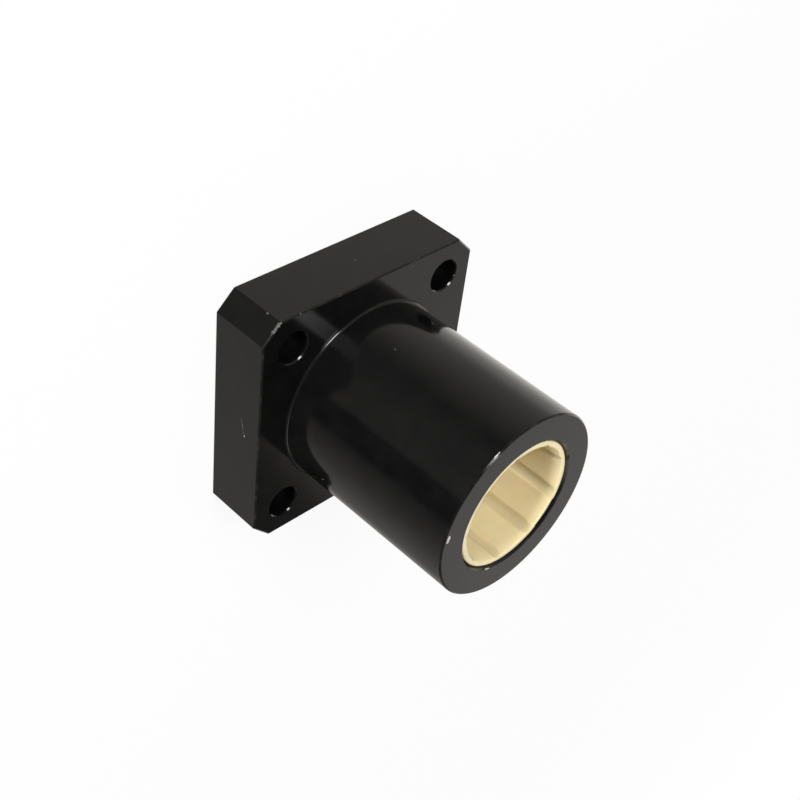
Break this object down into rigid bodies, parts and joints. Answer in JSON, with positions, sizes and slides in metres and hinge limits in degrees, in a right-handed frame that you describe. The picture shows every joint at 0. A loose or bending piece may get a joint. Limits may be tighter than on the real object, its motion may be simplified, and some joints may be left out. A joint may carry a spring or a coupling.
{
  "type": "square flange linear bearing",
  "caption": "Square-flanged linear plain bearing: black anodised aluminium housing with cut corners, round body and screw holes, and an ivory grooved polymer liner for a sliding shaft.",
  "frame": {"origin": "centre of the flange's outer face, where the part stands", "axes": "+Z along the shaft, from the flange's outer face towards the open end of the round body; X and Y square to the flange's sides"},
  "size_m": [0.035, 0.035, 0.036],
  "materials": {
    "black_anodised": "satin black anodised, fine turned and milled marks",
    "ivory_polymer": "smooth moulded sliding polymer"
  },
  "bodies": {
    "root": {"housing": "black_anodised", "liner": "ivory_polymer"}
  },
  "joints": []
}
